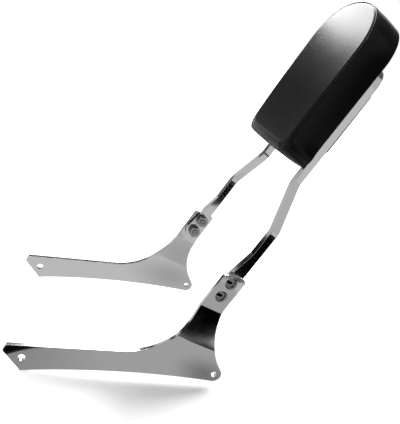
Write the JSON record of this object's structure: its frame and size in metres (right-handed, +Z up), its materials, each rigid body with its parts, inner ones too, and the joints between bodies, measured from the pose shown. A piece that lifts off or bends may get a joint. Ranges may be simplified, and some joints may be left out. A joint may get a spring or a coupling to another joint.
{
  "type": "motorbike passenger backrest",
  "caption": "Chromed passenger backrest for a motorbike: cranked fender plates, square-bar hoop leaning back and a black vinyl pad.",
  "frame": {"origin": "midway between the two rear mounting holes, on their common centre line", "axes": "+Z up, +Y aft (the backrest leans towards +Y), +X the rider's left"},
  "size_m": [0.276, 0.459, 0.5665],
  "materials": {
    "chrome": "polished",
    "vinyl": "satin",
    "foam": "matte",
    "board": "matte",
    "zinc": "satin",
    "nut_steel": "satin"
  },
  "bodies": {
    "root": {"side_plate_left": "chrome", "side_plate_right": "chrome", "hoop_bar": "chrome", "bolt_left_upper": "chrome", "bolt_left_lower": "chrome", "bolt_right_upper": "chrome", "bolt_right_lower": "chrome", "washer_left_upper": "nut_steel", "washer_left_lower": "nut_steel", "washer_right_upper": "nut_steel", "washer_right_lower": "nut_steel", "nut_left_upper": "nut_steel", "nut_left_lower": "nut_steel", "nut_right_upper": "nut_steel", "nut_right_lower": "nut_steel", "clamp_plate": "chrome", "pad_board": "board", "pad_foam": "foam", "pad_cover": "vinyl", "pad_screw_1": "chrome", "pad_screw_2": "chrome", "pad_screw_3": "chrome", "pad_screw_4": "chrome", "screw_washer_1": "chrome", "screw_washer_2": "chrome", "screw_washer_3": "chrome", "screw_washer_4": "chrome", "tee_nut_1": "zinc", "tee_nut_2": "zinc", "tee_nut_3": "zinc", "tee_nut_4": "zinc"}
  },
  "joints": []
}
